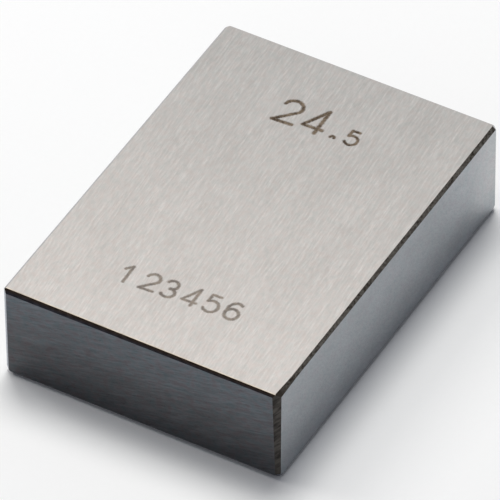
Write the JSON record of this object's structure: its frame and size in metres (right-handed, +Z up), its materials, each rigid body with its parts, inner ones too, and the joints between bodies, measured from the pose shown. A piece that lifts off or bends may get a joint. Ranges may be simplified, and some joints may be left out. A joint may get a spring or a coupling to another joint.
{
  "type": "gauge block",
  "caption": "Rectangular steel gauge block with two lapped parallel measuring faces, ground side faces and dressed edges, for setting and checking lengths.",
  "frame": {"origin": "centre of the broad side face that the block lies on", "axes": "+X along the nominal length, from the left measuring face to the right one; +Y along the long side of the measuring faces; +Z up"},
  "size_m": [0.0244, 0.035, 0.009],
  "materials": {
    "hardened_steel": "ground side faces, lapped measuring faces, stoned edge flats"
  },
  "bodies": {
    "root": {"gauge_block": "hardened_steel"}
  },
  "joints": []
}
